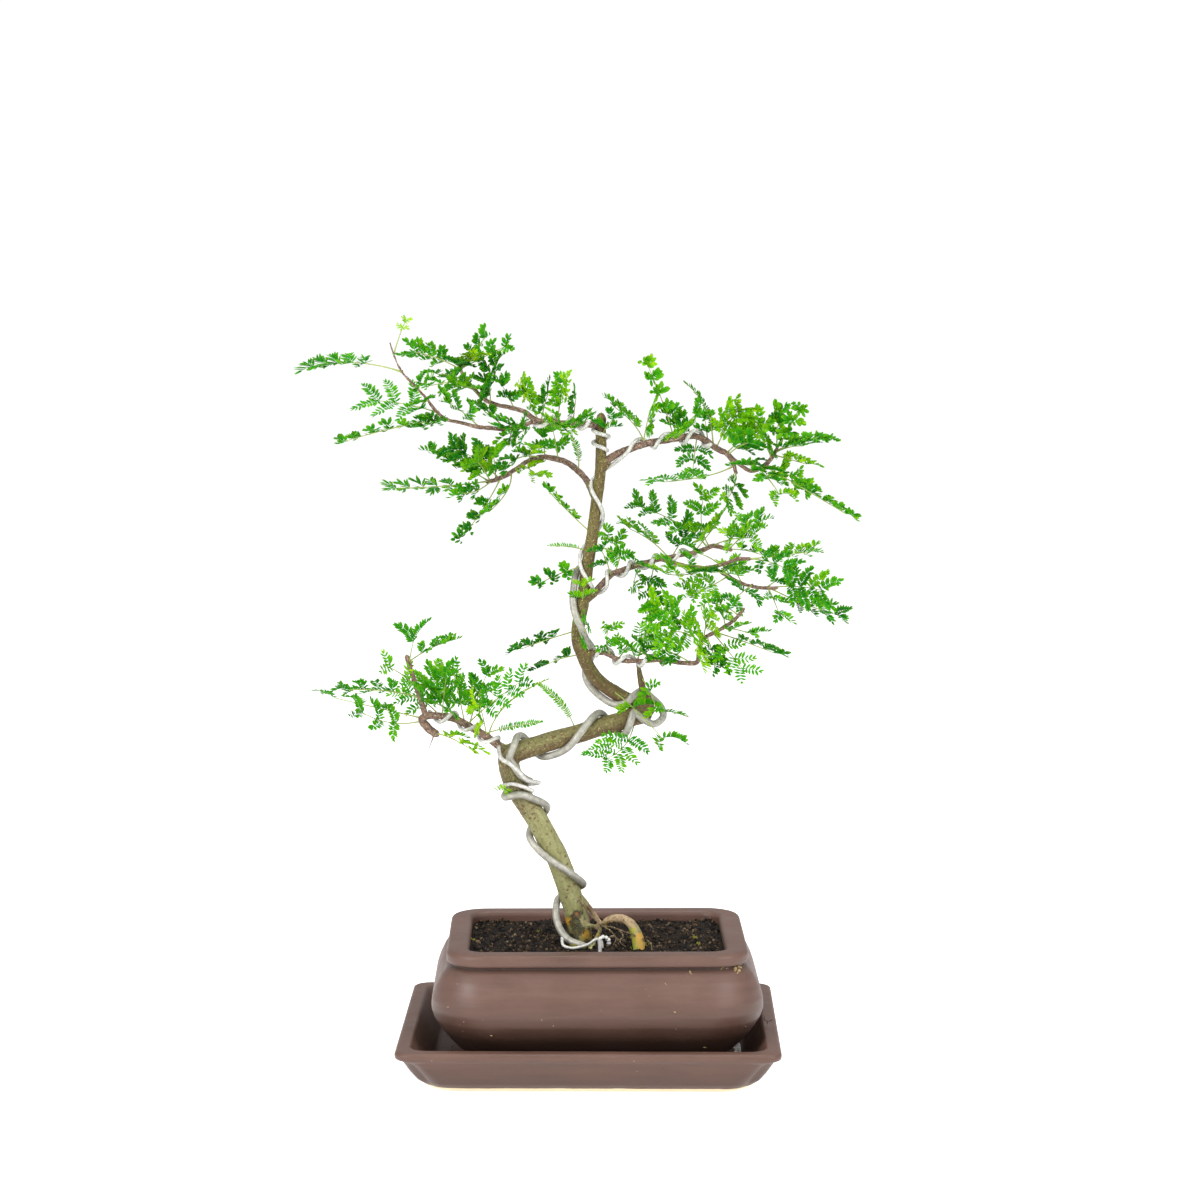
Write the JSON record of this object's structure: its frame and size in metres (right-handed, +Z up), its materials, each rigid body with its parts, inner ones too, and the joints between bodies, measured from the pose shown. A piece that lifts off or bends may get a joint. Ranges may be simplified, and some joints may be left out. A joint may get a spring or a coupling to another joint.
{
  "type": "gum arabic tree bonsai",
  "caption": "Thorny feathery-leaved bonsai with a kinked, wired trunk, standing in soil in a rectangular bulging clay pot on a matching saucer.",
  "frame": {"origin": "middle of the saucer's underside, on the surface that it rests on", "axes": "+Z up, +X right along the saucer's long side, -Y towards the viewer who sees the front"},
  "size_m": [0.3366, 0.1886, 0.4632],
  "materials": {
    "clay": "unglazed, satin brown",
    "earth": "damp dark grit",
    "bark": "rough olive bark",
    "leaf": "fresh green leaf",
    "aluminium_wire": "dull grey"
  },
  "bodies": {
    "root": {"saucer": "clay", "pot": "clay", "soil": "earth", "trunk": "bark", "trunk_wire": "aluminium_wire", "lower_wire": "aluminium_wire", "middle_wire": "aluminium_wire", "right_wire": "aluminium_wire", "upper_wire": "aluminium_wire", "top_wire": "aluminium_wire", "anchor_wire": "aluminium_wire", "stem_lower": "leaf", "stem_middle": "leaf", "stem_right": "leaf", "stem_upper": "leaf", "stem_left": "leaf", "stem_top": "leaf", "trunk_leaf_1": "leaf", "trunk_leaf_2": "leaf", "trunk_leaf_3": "leaf", "trunk_leaf_4": "leaf", "trunk_leaf_5": "leaf", "trunk_leaf_6": "leaf", "trunk_leaf_7": "leaf", "trunk_leaf_8": "leaf", "trunk_leaf_9": "leaf", "trunk_leaf_10": "leaf", "trunk_leaf_11": "leaf", "trunk_leaf_12": "leaf", "trunk_leaf_13": "leaf", "trunk_leaf_14": "leaf", "trunk_leaf_15": "leaf"}
  },
  "joints": []
}
